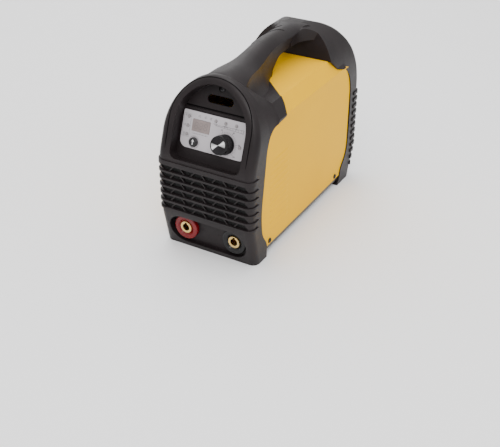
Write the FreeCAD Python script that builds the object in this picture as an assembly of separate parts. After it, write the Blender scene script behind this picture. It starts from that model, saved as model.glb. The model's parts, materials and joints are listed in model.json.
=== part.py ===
import FreeCAD, Part
import math
import os
from FreeCAD import Vector, Rotation, Placement

# Stick welding inverter, in millimetres. +Z is up, the control panel faces -Y, and the origin is
# the middle of the footprint at floor level.

# ---- overall sizes
case_length = 290.0          # over the front fins and the rear ribs
case_width = 130.0           # over the fins on both sides
roof_height = 185.0          # top of the sheet steel cover
bevel_height = 168.0         # where the sheet cover's sides turn in to the bevel
bevel_width = 11.0           # how far the bevel comes in before the flat roof
handle_top = 228.5           # highest point of the grip
fin_proud = 1.5              # how far fins and ribs stand out of the end covers
cover_wall = 2.6             # wall of the moulded end covers
cover_lip = 1.5              # how far an end cover stands proud of the sheet cover
sheet = 1.2                  # thickness of the sheet steel pieces
fit_gap = 0.15               # room between pieces that are pushed together

# ---- front cover
front_lean = 20.0            # degrees the control panel leans back
panel_foot = 121.0           # height where the leaning face starts
chin_height = 50.0           # height where the front starts to run in to the foot
chin_inset = 11.0            # how far the front foot is set back
front_foot_depth = 25.5      # length of the front foot on the floor
arch_spring = 147.0          # height where the arched outline leaves the straight sides
arch_top = 218.0
arch_crown = 50.0            # radius of the arch's crown
corner_radius = 9.0          # rounding of the front and rear corners
recess_half = 46.5           # half width of the panel recess
recess_depth = 16.0
recess_foot = 119.0
recess_spring = 160.0        # height where the recess leaves its straight sides
recess_top = 206.5
recess_corner = 8.0          # rounding of the recess's lower corners

# ---- control panel
label_half = 44.0
label_foot = 129.8
label_head = 170.5
label_thick = 0.8
knob_radius = 11.7
knob_height = 16.0
knob_cap_radius = 8.8
knob_spot = (16.0, 143.5)
shaft_radius = 3.0
button_radius = 5.4
button_proud = 3.0
button_travel = 1.5
button_spot = (-25.4, 137.3)
window_width = 23.3
window_height = 13.8
window_spot = (-19.1, 155.6)
light_radius = 1.4
light_spots = [(-1.0, 165.0), (12.0, 165.0), (26.0, 165.0),
               (-36.5, 163.5), (-36.5, 153.5), (-36.5, 144.0), (34.2, 143.7)]
strap_slot_length = 34.0
strap_slot_height = 9.5
strap_slot_spot = 187.0
panel_screw_spot = 200.0
board_thick = 1.6
control_board_gap = 6.0      # from the back of the recess to the control board

# ---- front grille and sockets
fin_pitch = 9.9
fin_count = 7
fin_first = 52.0
fin_height = 2.6
fin_wrap = 15.0              # how far the fins run round the corners
vent_pitch = 14.4            # from one air opening to the next along a row
vent_columns = 8
vent_slant = 2.6             # how far the webs between openings lean each way
vent_web = 0.9               # half width of a web
socket_spacing = 67.0
socket_height = 25.5
socket_radius = 16.0         # outside of the moulded bushing
socket_neck = 11.5           # radius of the bushing where it passes the cover
socket_proud = 5.0           # how far the bushing stands out of its pocket
socket_bore = 4.7            # radius of the hole that takes the cable plug
socket_bore_depth = 26.0
socket_key = 3.2             # width of the key slot beside the bore
contact_radius = 7.4
contact_length = 34.0
pocket_depth = 9.5
pocket_margin = 3.5

# ---- rear cover
rear_panel_inset = 18.0      # rear panel behind the rim
rear_panel_top = 168.0
rear_chin_height = 42.0      # height where the rear starts to run in to the foot
rear_foot_inset = 13.5       # how far the rear foot is set in
rim_width = 9.5
rib_pitch = 9.4
rib_count = 12
rib_first = 16.0
rib_height = 4.2
rib_wrap = 16.0              # how far the ribs run round the corners
fan_size = 92.0
fan_depth = 25.0
fan_height = 70.0            # height of the fan's axis
fan_hub_radius = 19.0
fan_blade_radius = 41.5
fan_blades = 7
switch_width = 30.0
switch_height = 22.0
switch_spot = (-26.0, 146.0)
switch_throw = 16.0          # degrees the rocker tips
rocker_pin_radius = 1.6
rocker_pin_length = 1.4      # how far the rocker's pins reach into the switch body
gland_radius = 8.5
gland_bore = 4.4
gland_spot = (28.0, 146.0)

# ---- rear hood and handle
hood_top = 226.0             # crown of the rear cover
hood_spring = 150.0          # height where the rear outline leaves the straight sides
hood_crown = 57.0            # radius of the hood's crown
hood_rim = 77.0              # front rim of the hood
hood_flare = 30.0            # radius of the hollow between the grip and the hood's rim
grip_half = 15.5             # half width of the grip
finger_gap_front = -8.0
finger_gap_rear = 67.0
finger_gap_height = 22.0     # from the roof to the underside of the grip
post_front = -104.0          # where the post rises out of the arch
seam_front = -12.0           # where the grip is joined to the front cover's post
seam_rear = 36.0             # where the grip is joined to the rear cover

# ---- chassis and inner pieces
tray_floor = 7.0
cover_foot = 12.6            # lower edge of the sheet cover
tray_wall_top = 30.0
board_level = 20.0
cover_screw_radius = 3.4
choke_ring_radius = 11.5
choke_wire_radius = 6.0

# ---- derived places
lean = math.radians(front_lean)
half_shell = case_width / 2 - fin_proud
half_sheet = half_shell - cover_lip
front_face = -case_length / 2 + fin_proud
rear_face = case_length / 2 - fin_proud
shell_roof = roof_height + cover_lip
ear_tip = -62.0
roof_edge_front = -56.0      # where the front cover crosses the corner of the roof
pocket_floor = front_face + chin_inset / 2 + pocket_depth
label_depth = recess_depth - label_thick
board_depth = recess_depth + cover_wall + control_board_gap
rear_panel = rear_face - rear_panel_inset
sheet_front = front_face + 18.0
sheet_rear = rear_panel - 8.0
grip_under = roof_height + finger_gap_height


# ---------------------------------------------------------------- drawing helpers
def seg(a, b):
    return Part.LineSegment(Vector(*a), Vector(*b)).toShape()


def arc(a, b, c):
    return Part.Arc(Vector(*a), Vector(*b), Vector(*c)).toShape()


def box(x0, x1, y0, y1, z0, z1):
    return Part.makeBox(x1 - x0, y1 - y0, z1 - z0, Vector(x0, y0, z0))


def rod(radius, start, end):
    a, b = Vector(*start), Vector(*end)
    return Part.makeCylinder(radius, (b - a).Length, a, b - a)


def ring(outer, inner, start, end):
    return rod(outer, start, end).cut(rod(inner, start, end))


def fuse(shapes):
    return shapes[0].multiFuse(shapes[1:]).removeSplitter() if len(shapes) > 1 else shapes[0]


def mirror_x(shape):
    return shape.mirror(Vector(0, 0, 0), Vector(1, 0, 0))


def group(solids):
    return Part.makeCompound(solids)


def rounded_wire(points, radii):
    """Closed outline through 3-D corner points, each corner rounded by its own radius."""
    corners = [Vector(*p) for p in points]
    ends = []
    for i, corner in enumerate(corners):
        radius = radii[i] if isinstance(radii, (list, tuple)) else radii
        if radius <= 0:
            ends.append((corner, None, corner))
            continue
        back = (corners[i - 1] - corner).normalize()
        ahead = (corners[(i + 1) % len(corners)] - corner).normalize()
        half_turn = back.getAngle(ahead) / 2
        run = radius / math.tan(half_turn)
        middle = corner + (back + ahead).normalize() * (radius / math.sin(half_turn) - radius)
        ends.append((corner + back * run, middle, corner + ahead * run))
    edges = []
    for i, (start, middle, end) in enumerate(ends):
        if middle is not None:
            edges.append(Part.Arc(start, middle, end).toShape())
        following = ends[(i + 1) % len(ends)][0]
        if end.distanceToPoint(following) > 1e-6:
            edges.append(Part.LineSegment(end, following).toShape())
    return Part.Wire(edges)


def slab_x(outline, radii, x0, x1):
    """Prism along X of an outline given as (y, z) points."""
    wire = rounded_wire([(x0, y, z) for y, z in outline], radii)
    return Part.Face(wire).extrude(Vector(x1 - x0, 0, 0))


def slab_y(outline, radii, y0, y1):
    """Prism along Y of an outline given as (x, z) points."""
    wire = rounded_wire([(x, y0, z) for x, z in outline], radii)
    return Part.Face(wire).extrude(Vector(0, y1 - y0, 0))


def slab_z(outline, radii, z0, z1):
    """Prism along Z of an outline given as (x, y) points."""
    wire = rounded_wire([(x, y, z0) for x, y in outline], radii)
    return Part.Face(wire).extrude(Vector(0, 0, z1 - z0))


def smooth_slab_x(curve, closing, x0, x1):
    """Prism along X: a smooth curve through (y, z) points, closed by straight lines."""
    spline = Part.BSplineCurve()
    spline.interpolate([Vector(x0, y, z) for y, z in curve])
    corners = [(x0, *curve[-1])] + [(x0, y, z) for y, z in closing] + [(x0, *curve[0])]
    edges = [spline.toShape()] + [seg(a, b) for a, b in zip(corners, corners[1:])]
    return Part.Face(Part.Wire(edges)).extrude(Vector(x1 - x0, 0, 0))


def rectangle(cx, cz, width, height):
    w, h = width / 2, height / 2
    return [(cx - w, cz - h), (cx + w, cz - h), (cx + w, cz + h), (cx - w, cz + h)]


def arch_section(y, half, spring, top, crown, foot):
    """Straight sides that turn into a two-radius arch, in the plane y."""
    crown_z = top - crown
    side = (half ** 2 + (crown_z - spring) ** 2 - crown ** 2) / (2 * (half - crown))
    side_x = half - side
    run = math.hypot(side_x, crown_z - spring)
    turn = math.atan2((crown_z - spring) / run, -side_x / run)

    def on_side(angle):
        return (side_x + side * math.cos(angle), y, spring + side * math.sin(angle))

    def left(p):
        return (-p[0], p[1], p[2])

    start, middle, end = on_side(0), on_side(turn / 2), on_side(turn)
    return Part.Wire([
        seg((half, y, foot), start), arc(start, middle, end), arc(end, (0, y, top), left(end)),
        arc(left(end), left(middle), left(start)), seg(left(start), (-half, y, foot)),
        seg((-half, y, foot), (half, y, foot))])


def bevel_section(y, inset, foot):
    """Section over the sheet cover, with the same number of edges as arch_section."""
    half = half_shell - inset
    fold = (half, y, bevel_height + cover_lip / 2 - inset / 2)
    top = (half - bevel_width, y, shell_roof - inset)

    def left(p):
        return (-p[0], p[1], p[2])

    return Part.Wire([
        seg((half, y, foot), fold), seg(fold, top), seg(top, left(top)), seg(left(top), left(fold)),
        seg(left(fold), (-half, y, foot)), seg((-half, y, foot), (half, y, foot))])


def round_outer_edges(hull, radius, facing):
    """Round the edges where the end face (facing -1 front, +1 rear) meets the outline."""
    chosen = []
    for edge in hull.Edges:
        sides = []
        for face in hull.ancestorsOfType(edge, Part.Face):
            u0, u1, v0, v1 = face.ParameterRange
            sides.append(face.normalAt((u0 + u1) / 2, (v0 + v1) / 2).y * facing)
        if len(sides) == 2 and max(sides) > 0.6 and min(sides) < 0.5 and edge.BoundBox.ZMax > 5:
            chosen.append(edge)
    return hull.makeFillet(radius, chosen)


# ---------------------------------------------------------------- the leaning panel's own frame
panel_place = Placement(Vector(0, front_face, panel_foot), Rotation(Vector(1, 0, 0), 90 - front_lean))


def up_slope(height, depth):
    """Distance up the leaning face of a point at this height, at this depth below the face."""
    return (height - panel_foot + depth * math.sin(lean)) / math.cos(lean)


def on_panel(shape):
    placed = shape.copy()
    placed.Placement = panel_place.multiply(placed.Placement)
    return placed


def panel_rod(radius, spot, depth_out, depth_in):
    """Round piece square to the panel, from one depth below the leaning face to another."""
    s = up_slope(spot[1], label_depth)
    return on_panel(rod(radius, (spot[0], s, -depth_in), (spot[0], s, -depth_out)))


def panel_plate(outline, radii, depth_out, depth_in):
    """Prism square to the panel of an outline in panel coordinates."""
    wire = rounded_wire([(x, s, -depth_in) for x, s in outline], radii)
    return on_panel(Part.Face(wire).extrude(Vector(0, 0, depth_in - depth_out)))


def panel_arch(half, foot, top, corner, depth_out, depth_in):
    """Arched prism square to the panel, with rounded lower corners."""
    crown = min(half - 6, arch_crown - 10)
    spring = up_slope(recess_spring, recess_depth / 2)
    wire = arch_section(0, half, spring, up_slope(top, recess_depth / 2), crown,
                        up_slope(foot, recess_depth / 2))
    face = Part.Face(wire)
    face.rotate(Vector(0, 0, 0), Vector(1, 0, 0), -90)
    face.translate(Vector(0, 0, -depth_in))
    prism = face.extrude(Vector(0, 0, depth_in - depth_out))
    low = prism.BoundBox.YMin + 0.1
    lower_corners = [e for e in prism.Edges if e.BoundBox.YMax < low and e.BoundBox.XLength < 0.1]
    return on_panel(prism.makeFillet(corner, lower_corners))


# ---------------------------------------------------------------- outer forms of the end covers
def front_hull(inset):
    """Solid outer form of the front cover, drawn in by inset on every side."""
    half = half_shell - inset
    foot = max(inset, 0)
    top = arch_top - inset
    crown = arch_crown - inset
    back = roof_edge_front + 30
    outline = Part.makeLoft([
        arch_section(front_face - 20, half, arch_spring, top, crown, foot),
        arch_section(-100.0, half, arch_spring, top, crown, foot),
        bevel_section(-79.0, inset, foot),
        bevel_section(back, inset, foot)], True, True)
    face = front_face + inset
    slope = math.tan(lean)
    tall = arch_top + 30
    lean_shift = inset * (1 / math.cos(lean) - 1)
    profile = slab_x([
        (face + chin_inset, foot), (face, chin_height), (face, panel_foot),
        (face + lean_shift + slope * (tall - panel_foot), tall), (back, tall), (back, foot)],
        [0, 60, 60, 0, 0, 0], -case_width, case_width)
    return round_outer_edges(outline.common(profile), corner_radius - inset, -1)


def front_edge_zone():
    """Space in front of the curved line where the front cover ends."""
    side = smooth_slab_x(
        [(-106.0, cover_foot), (-108.5, 22.0), (-115.5, 33.0), (-119.0, 48.0), (-119.3, 66.0),
         (-115.0, 98.0), (-110.0, 130.0), (-103.4, 152.0), (-92.0, 162.0), (-76.0, 165.7),
         (ear_tip - 1, 167.0)],
        [(ear_tip, bevel_height + 1), (roof_edge_front - 1, 179.0), (roof_edge_front, roof_height),
         (front_face - 30, roof_height), (front_face - 30, -5),
         (front_face + chin_inset + front_foot_depth, -5)], -case_width, case_width)
    corner = half_sheet - bevel_width
    apex = roof_edge_front + corner - 4
    roof = slab_z([(case_width, front_face - 30), (case_width, roof_edge_front), (corner, roof_edge_front),
                   (4, apex), (-4, apex), (-corner, roof_edge_front), (-case_width, roof_edge_front),
                   (-case_width, front_face - 30)], 0, roof_height, shell_roof + 60)
    return side.fuse(roof)


def spine_section(y, inset, foot_half, half, shoulder, top, sag):
    """Section of the handle: flat foot, hollowed sides and a rounded back."""
    base = roof_height - 3
    right = half - inset
    low = max(foot_half - inset, 2.0)
    middle = ((low + right) / 2 - sag, y, (base + shoulder - inset) / 2 - sag * 0.5)
    start, end = (low, y, base), (right, y, shoulder - inset)

    def left(p):
        return (-p[0], p[1], p[2])

    return Part.Wire([
        seg(left(start), start), arc(start, middle, end), arc(end, (0, y, top - inset), left(end)),
        arc(left(end), left(middle), left(start))])


def handle_spine(inset):
    """Handle from the arch to the hood, before the finger gap is opened."""
    top = handle_top
    return Part.makeLoft([
        spine_section(-104.0, inset, 50, 32, 203.5, arch_top - 2, 3.0),
        spine_section(-82.0, inset, 53, 25, 209.0, top - 9.5, 8.0),
        spine_section(roof_edge_front - 1, inset, 51, 20.5, 210.5, top - 9.7, 8.5),
        spine_section(-32.0, inset, 27, grip_half + 1.5, 212.5, top - 5.5, 3.5),
        spine_section(seam_front, inset, 14.5, grip_half, 217.5, top - 2.0, -0.6),
        spine_section(15.0, inset, 13.5, grip_half, 220.5, top, -1.0),
        spine_section(hood_rim - 24, inset, 13.5, grip_half + 0.5, 221.0, top - 1.5, -1.0),
        spine_section(hood_rim + 2, inset, 18, 24, 219.5, top - 2.6, -1.0)], True, False)


def hood_profile(inset):
    """Side view of the rear cover."""
    rear = rear_face - inset
    top = hood_top - inset
    foot = max(inset, 0)
    start = seam_rear - 1
    return slab_x([
        (start, foot), (start, top - 14), (hood_rim - 13, top - 1), (hood_rim + 7, top),
        (110.0 - inset / 2, top - 9), (rear - 10.5, 190.0 - inset / 3), (rear, 140.0),
        (rear, rear_chin_height), (rear - rear_foot_inset, foot)],
        [0, 0, 30, 45, 60, 60, 90, 40, 0], -case_width, case_width)


def rear_block(inset, start):
    """Arched form of the rear cover with its rounded rear edges, from start back."""
    outline = Part.Face(arch_section(start, half_shell - inset, hood_spring, hood_top + 0.5 - inset,
                                     hood_crown - inset, max(inset, 0)))
    block = outline.extrude(Vector(0, rear_face + 20 - start, 0)).common(hood_profile(inset))
    return round_outer_edges(block, corner_radius - inset / 2, 1)


def rear_ribs():
    """Thin horizontal ribs round the rear corners."""
    half = half_shell + fin_proud
    front = rear_face - rib_wrap
    ribs = []
    for i in range(rib_count):
        z = rib_first + i * rib_pitch
        back = rear_face + fin_proud - rear_foot_inset * max(0.0, 1 - z / rear_chin_height)
        ribs.append(slab_z([(-half, front), (half, front), (half, back), (-half, back)],
                           [0, 0, corner_radius, corner_radius], z, z + rib_height))
    return group(ribs)


def rear_hull(inset):
    """Solid outer form of the rear cover: the hood, and the part that wraps the sheet cover."""
    wrap = Part.Face(bevel_section(seam_rear, inset, max(inset, 0))).extrude(Vector(0, 98.0 - seam_rear, 0))
    block = rear_block(inset, seam_rear).cut(scoop(inset))
    room = box(-case_width, case_width, seam_rear, hood_rim, grip_under + inset, handle_top + 5)
    return fuse([block, wrap, handle_spine(inset).common(room)])


def scoop(grow):
    """Space in front of the hood, on both sides of the grip and under it."""
    far = case_width
    rim = hood_rim + grow
    front = slab_x([
        (-far, shell_roof - grow), (finger_gap_rear + grow, shell_roof - grow),
        (finger_gap_rear + 4 + grow, 203.0), (rim, hood_top), (rim, hood_top + 30),
        (-far, hood_top + 30)], [0, 0, 30, 0, 0, 0], -far, far)
    near = grip_half - grow
    side = slab_z([(near, -far), (far, -far), (far, rim), (near, rim)], [0, 0, 0, hood_flare],
                  0, hood_top + 40)
    below = box(-far, far, -far, far, 0, grip_under + grow)
    return front.common(fuse([side, mirror_x(side), below]))


# ---------------------------------------------------------------- end covers and grip
def sheet_outline(grow):
    """Side view of the sheet cover; grow leaves room around it."""
    front = roof_edge_front - 4 - grow
    rear = finger_gap_rear + 7 + grow
    return [(sheet_front - grow, cover_foot - grow), (sheet_front - grow, 134.0), (-106.0 - grow, 152.0),
            (-95.0, 162.0 + grow), (-80.0, 167.5 + grow), (ear_tip - 4 - grow, bevel_height + 2),
            (front, 178.0), (front, roof_height + grow), (rear, roof_height + grow), (rear + 5, 178.0),
            (rear + 9, bevel_height + 4), (rear + 24, bevel_height + 2), (sheet_rear - 4, 164.0),
            (sheet_rear + grow, 150.0),
            (sheet_rear + grow, cover_foot - grow)]


def sheet_section(grow):
    """Cross section of the sheet cover's outer faces as (x, z) points."""
    half = half_sheet + grow
    top = roof_height + grow
    fold = bevel_height + grow / 2
    return [(half, 0), (half, fold), (half - bevel_width, top),
            (-half + bevel_width, top), (-half, fold), (-half, 0)]


def sheet_block(grow):
    """Whole space inside the sheet cover's outer faces."""
    side = slab_x(sheet_outline(grow), 0, -case_width, case_width)
    return side.common(slab_y(sheet_section(grow), 0, -case_length, case_length))


def sheet_room():
    """Room that the end covers leave for the sheet cover's walls."""
    core = slab_y(sheet_section(-cover_wall), 0, -case_length, case_length)
    return sheet_block(fit_gap).cut(core)


def fins(hull, first, pitch, count, height, front, back):
    """Thin horizontal slices of a slightly larger form, which stand out of a cover as fins."""
    slices = [box(-case_width, case_width, front, back, first + i * pitch, first + i * pitch + height)
              for i in range(count)]
    return hull.common(group(slices))


def socket_pocket(grow, depth):
    """Long round-ended pocket that holds both sockets."""
    radius = socket_radius + pocket_margin + grow
    reach = socket_spacing / 2
    return slab_y(rectangle(0, socket_height, 2 * (reach + radius), 2 * radius), radius - 0.01,
                  front_face - 30, depth)


def vent_cells():
    """Rows of air openings between the fins, with slanted webs left between them."""
    cells = []
    for row in range(fin_count - 1):
        low = fin_first + fin_height + row * fin_pitch + 0.6
        high = low + fin_pitch - fin_height - 1.2
        for i in range(vent_columns):
            x = (i - (vent_columns - 1) / 2) * vent_pitch
            wide, narrow = vent_pitch / 2 + vent_slant - vent_web, vent_pitch / 2 - vent_slant - vent_web
            foot, head = (wide, narrow) if i % 2 else (narrow, wide)
            cells.append(slab_y([(x - foot, low), (x + foot, low), (x + head, high), (x - head, high)], 0.6,
                                front_face - 10, front_face + 6))
    return group(cells)


def make_front_cover():
    solid = front_hull(0)
    cavity = front_hull(cover_wall)
    skin = solid.cut(cavity)
    tub = panel_arch(recess_half + cover_wall, recess_foot - cover_wall, recess_top + cover_wall,
                     recess_corner + cover_wall, -30, recess_depth + cover_wall)
    tub = tub.common(solid)
    pocket_back = socket_pocket(cover_wall, pocket_floor + cover_wall).common(solid)
    outer = front_hull(-fin_proud)
    grille = fins(outer.cut(cavity), fin_first, fin_pitch, fin_count, fin_height, front_face - 10,
                  front_face + fin_wrap)
    bar = fins(outer.cut(cavity), recess_foot - 7.5, 1, 1, 5.5, front_face - 10, front_face + fin_wrap)
    zone = front_edge_zone()
    cover = fuse([skin, grille, bar]).common(zone).fuse(make_post().cut(cavity))
    cover = cover.cut(post_hollow()).fuse(fuse([tub, pocket_back]).common(zone))
    cuts = [panel_arch(recess_half, recess_foot, recess_top, recess_corner, -30, recess_depth),
            socket_pocket(0, pocket_floor), sheet_room()]
    cuts.append(vent_cells())
    for x in (-socket_spacing / 2, socket_spacing / 2):
        cuts.append(rod(socket_neck + fit_gap, (x, pocket_floor - 1, socket_height),
                        (x, pocket_floor + cover_wall + 1, socket_height)))
    deep = recess_depth + cover_wall + 1
    cuts.append(panel_rod(4.0, knob_spot, recess_depth - 1, deep))
    cuts.append(panel_rod(button_radius + 0.3, button_spot, recess_depth - 1, deep))
    cuts += [panel_rod(light_radius + 0.2, spot, recess_depth - 1, deep) for spot in light_spots]
    cuts.append(window_block(0.2, recess_depth - 1, deep))
    cuts.append(strap_cut(strap_slot_length, strap_slot_height, deep))
    cuts.append(panel_rod(4.5, (0, panel_screw_spot), recess_depth - 3, recess_depth + 0.8))
    cuts += [cover_screw_hole(x, y) for x, y in cover_screw_spots() if y < 0]
    for cut in cuts:
        cover = cover.cut(cut)
    return cover.removeSplitter()


def make_post():
    """Post of the front cover that carries the front end of the grip."""
    room = box(-case_width, case_width, post_front, seam_front, shell_roof - 1, handle_top + 5)
    return handle_spine(0).common(room).cut(finger_gap())


def post_hollow():
    """Space inside the post, open to the inside of the front cover."""
    room = box(-case_width, case_width, post_front, seam_front - 4, shell_roof, handle_top + 5)
    return handle_spine(cover_wall).common(room).cut(finger_gap(cover_wall))


def window_block(grow, depth_out, depth_in):
    s = up_slope(window_spot[1], label_depth)
    outline = rectangle(window_spot[0], s, window_width + 2 * grow, window_height + 2 * grow)
    return panel_plate(outline, 1.0 + grow, depth_out, depth_in)


def strap_cut(length, height, depth):
    s = up_slope(strap_slot_spot, recess_depth)
    return panel_plate(rectangle(0, s, length, height), height / 2 - 0.01, recess_depth - 2, depth)


def cover_screw_spots():
    return [(half_sheet, -97.5), (-half_sheet, -97.5), (half_sheet, 84.0), (-half_sheet, 84.0)]


def cover_screw_hole(x, y):
    side = math.copysign(1, x)
    z = cover_foot + 5
    return rod(2.3, (side * (half_sheet - 6), y, z), (side * (half_shell + 1), y, z))


def make_rear_cover():
    solid = rear_hull(0)
    cavity = rear_hull(cover_wall)
    back = rear_panel
    hollow = cavity.common(box(-case_width, case_width, seam_rear - 1, back - cover_wall, -1, handle_top + 5))
    blank = solid.cut(hollow)
    half = half_shell - rim_width
    rim = slab_y([(-half, 8.0), (half, 8.0), (half, rear_panel_top), (-half, rear_panel_top)], [6, 6, 22, 22],
                 back, rear_face + 20)
    cover = blank.fuse(rear_ribs().cut(cavity)).cut(rim).common(rear_edge_zone())
    cuts = [sheet_room()]
    cuts += fan_slots()
    cuts.append(box(switch_spot[0] - switch_width / 2, switch_spot[0] + switch_width / 2, back - 5, back + 1,
                    switch_spot[1] - switch_height / 2, switch_spot[1] + switch_height / 2))
    cuts.append(rod(gland_radius + fit_gap, (gland_spot[0], back - 5, gland_spot[1]),
                    (gland_spot[0], back + 1, gland_spot[1])))
    cuts += [rod(2.2, (x, back - 5, z), (x, back + 1, z)) for x, z in fan_screw_spots()]
    cuts += [cover_screw_hole(x, y) for x, y in cover_screw_spots() if y > 0]
    for cut in cuts:
        cover = cover.cut(cut)
    return cover.removeSplitter()


def rear_edge_zone():
    """Space behind the curved line where the rear cover begins."""
    low = smooth_slab_x(
        [(98.0, cover_foot), (103.5, 26.0), (112.0, 36.0), (117.0, 50.0), (118.5, 70.0), (118.0, 122.0),
         (114.0, 146.0), (106.0, 160.0)],
        [(98.0, bevel_height), (finger_gap_rear + 24, bevel_height + 0.7),
         (finger_gap_rear + 11, bevel_height + 5),
         (finger_gap_rear + 6, 179.0), (finger_gap_rear, roof_height), (rear_face + 30, roof_height),
         (rear_face + 30, -5), (89.0, -5)], -case_width, case_width)
    high = box(-case_width, case_width, finger_gap_rear, rear_face + 30, roof_height, handle_top + 10)
    over = box(-case_width, case_width, seam_rear, rear_face, shell_roof + 0.5, handle_top + 10)
    return low.fuse(high).fuse(over)


def finger_gap(shrink=0.0):
    """Opening under the grip, seen from the side."""
    front, rear = finger_gap_front - shrink, finger_gap_rear + shrink
    under = grip_under + shrink
    return slab_x([(front, roof_height - 10), (rear, roof_height - 10), (rear, shell_roof + 2),
                   (rear - 20, under), (front + 13, under), (front, roof_height + 8)],
                  [0, 0, 4, 20, 14, 8], -case_width, case_width)


def make_carry_handle():
    """Grip between the front cover's post and the rear cover."""
    room = box(-case_width, case_width, seam_front, seam_rear, roof_height, handle_top + 5)
    return handle_spine(0).common(room).cut(finger_gap())


# ---------------------------------------------------------------- sheet steel pieces
def make_side_cover():
    outer = sheet_block(0)
    inner = slab_y(sheet_section(-sheet), 0, -case_length, case_length)
    cover = outer.cut(inner)
    for x, y in cover_screw_spots():
        cover = cover.cut(cover_screw_hole(x, y))
    return cover


def make_base_tray():
    half = half_sheet - sheet - fit_gap
    front, back = sheet_front + 2, sheet_rear - 2
    tray = box(-half, half, front, back, tray_floor, tray_wall_top)
    inner = half - sheet
    tray = tray.cut(box(-inner, inner, front - 1, back + 1, tray_floor + sheet, tray_wall_top + 1))
    for x in (-36, -18, 0, 18, 36):
        tray = tray.cut(box(x - 2, x + 2, -20, 60, tray_floor - 1, tray_floor + sheet + 1))
    for x, y in cover_screw_spots():
        tray = tray.cut(cover_screw_hole(x, y))
    return tray


# ---------------------------------------------------------------- control panel
def make_panel_label():
    s0, s1 = up_slope(label_foot, label_depth), up_slope(label_head, label_depth)
    corners = [(-label_half, s0), (label_half, s0), (label_half, s1), (-label_half, s1)]
    plate = panel_plate(corners, [9, 9, 2, 2],
                        label_depth, recess_depth)
    for cut in [panel_rod(4.0, knob_spot, label_depth - 1, recess_depth + 1),
                panel_rod(button_radius + 0.3, button_spot, label_depth - 1, recess_depth + 1),
                window_block(0.2, label_depth - 1, recess_depth + 1)]:
        plate = plate.cut(cut)
    for spot in light_spots:
        plate = plate.cut(panel_rod(light_radius + 0.2, spot, label_depth - 1, recess_depth + 1))
    return plate


def make_display_window():
    return window_block(0, label_depth - 0.4, recess_depth + cover_wall + 0.1)


def make_display_module():
    s = up_slope(window_spot[1], label_depth)
    outline = rectangle(window_spot[0], s, window_width - 1, window_height - 0.6)
    return panel_plate(outline, 0, recess_depth + cover_wall + 0.1, board_depth)


def make_indicator_lights():
    return group([panel_rod(light_radius, spot, label_depth - 0.5, board_depth) for spot in light_spots])


def make_mode_button():
    stem = board_depth - 1.8 - button_travel
    cap = panel_rod(button_radius, button_spot, label_depth - button_proud, stem)
    flange = panel_rod(button_radius + 1.5, button_spot, recess_depth + cover_wall + 0.3,
                       recess_depth + cover_wall + 1.3)
    return cap.makeFillet(0.8, [top_edge(cap)]).fuse(flange)


def top_edge(shape):
    """The outermost round edge of a piece that stands square to the panel."""
    outward = Vector(0, -math.cos(lean), math.sin(lean))
    return max((e for e in shape.Edges if e.Closed), key=lambda e: e.CenterOfMass.dot(outward))


def make_mode_switch():
    s = up_slope(button_spot[1], label_depth)
    case = panel_plate(rectangle(button_spot[0], s, 7, 7), 0, board_depth - 1.0, board_depth)
    return case.fuse(panel_rod(1.6, button_spot, board_depth - 1.7, board_depth - 0.5))


def make_control_knob():
    base = label_depth - 1.2
    skirt = panel_rod(knob_radius, knob_spot, base - 2.2, base)
    body = panel_rod(knob_radius - 0.9, knob_spot, base - knob_height, base - 1)
    body = body.makeFillet(1.2, [top_edge(body)])
    knob = fuse([skirt, body])
    face = base - knob_height
    knob = knob.cut(panel_rod(knob_cap_radius + 0.05, knob_spot, face - 1, face + 0.9))
    for i in range(24):
        angle = 2 * math.pi * i / 24
        s = up_slope(knob_spot[1], label_depth)
        x = knob_spot[0] + (knob_radius - 0.7) * math.cos(angle)
        groove = rod(0.55, (x, s + (knob_radius - 0.7) * math.sin(angle), -base + 2.4),
                     (x, s + (knob_radius - 0.7) * math.sin(angle), -base + knob_height - 2))
        knob = knob.cut(on_panel(groove))
    return knob.cut(panel_rod(shaft_radius, knob_spot, base - knob_height + 4, base + 1))


def make_knob_cap():
    base = label_depth - 1.2
    disc = panel_rod(knob_cap_radius, knob_spot, base - knob_height - 0.2, base - knob_height + 0.9)
    s = up_slope(knob_spot[1], label_depth)
    face = base - knob_height
    line = panel_plate(rectangle(knob_spot[0], s + 5.2, 1.1, 5.4), 0.4, face - 1, face + 0.1)
    return disc.cut(line)


def make_dial_shaft():
    return panel_rod(shaft_radius, knob_spot, label_depth - 1.2 - knob_height + 4, board_depth - 3)


def make_dial_encoder():
    s = up_slope(knob_spot[1], label_depth)
    body = panel_plate(rectangle(knob_spot[0], s, 15, 13), 0.5, recess_depth + cover_wall, board_depth)
    neck = panel_rod(3.8, knob_spot, label_depth - 0.8, board_depth - 2)
    return body.fuse(neck).cut(panel_rod(shaft_radius + 0.05, knob_spot, 0, board_depth - 2.9))


def make_control_board():
    s0, s1 = up_slope(126.0, recess_depth), up_slope(178.0, recess_depth)
    corners = [(-40, s0), (40, s0), (40, s1), (-40, s1)]
    return panel_plate(corners, 1.5, board_depth, board_depth + board_thick)


def make_panel_screw():
    head = panel_rod(4.2, (0, panel_screw_spot), recess_depth - 1.2, recess_depth + 0.8)
    cross = []
    s = up_slope(panel_screw_spot, label_depth)
    for width, height in ((5.0, 1.0), (1.0, 5.0)):
        cross.append(panel_plate(rectangle(0, s, width, height), 0, recess_depth - 2, recess_depth - 0.1))
    return head.cut(fuse(cross))


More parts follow.
